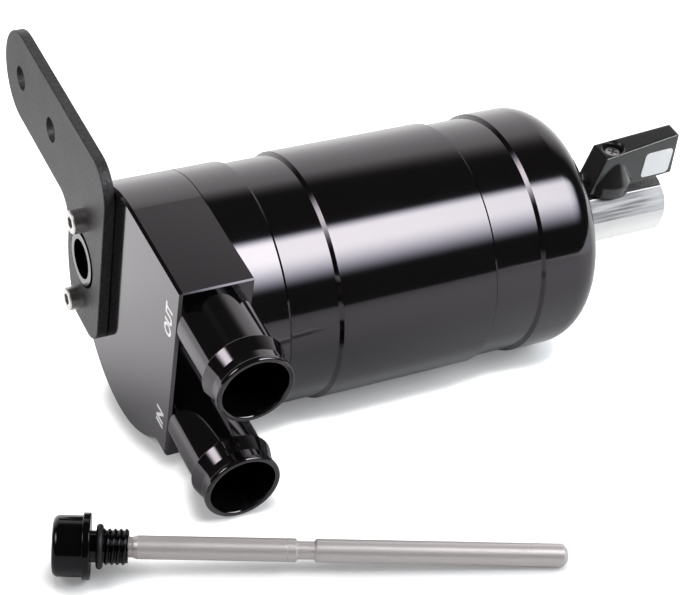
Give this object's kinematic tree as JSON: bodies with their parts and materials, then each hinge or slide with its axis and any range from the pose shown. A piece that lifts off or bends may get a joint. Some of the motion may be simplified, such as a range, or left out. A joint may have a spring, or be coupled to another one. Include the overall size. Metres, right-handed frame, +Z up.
{
  "type": "oil catch can",
  "caption": "Round black oil catch can lying on its side, with a port block, hose tails, a flat bracket, a lever drain valve, and its dipstick laid in front.",
  "frame": {"origin": "on the can's axis at the mouth of the drain", "axes": "+X along the can from its head to its drain, +Z up from the surface that it lies on"},
  "size_m": [0.2752, 0.2443, 0.1147],
  "materials": {
    "black_anodised": "gloss black anodised",
    "powder_coat": "fine satin black powder coat on plate",
    "stainless": "satin",
    "bare_aluminium": "satin turned",
    "rubber": "matt",
    "nickel_plate": "nickel plated, drawn along its length",
    "chrome": "polished",
    "seat_plastic": "matt",
    "black_plastic": "satin moulded",
    "white_panel": "smooth"
  },
  "bodies": {
    "can": {"head": "black_anodised", "body_tube": "black_anodised", "base_cup": "black_anodised", "outlet_tail": "black_anodised", "inlet_tail": "black_anodised", "dipstick_plug": "black_anodised", "bracket": "powder_coat", "bracket_screws": "stainless", "dipstick_rod": "bare_aluminium", "baffle_plate": "bare_aluminium", "drop_tube": "bare_aluminium", "head_seal": "rubber", "base_seal": "rubber", "drain_seal": "rubber", "dipstick_seal": "rubber", "valve_body": "nickel_plate", "valve_retainer": "nickel_plate", "valve_seats": "seat_plastic"},
    "lever": {"valve_lever": "black_plastic", "lever_screw": "stainless", "lever_panel": "white_panel", "valve_stem": "nickel_plate", "stem_seal": "rubber", "valve_ball": "chrome"}
  },
  "joints": [
    {"name": "lever_turn", "type": "hinge", "parent": "can", "child": "lever", "pos_m": [-0.02385, 0, 0], "axis": [0, -0.2351, 0.972], "range_deg": [0, 90]}
  ]
}
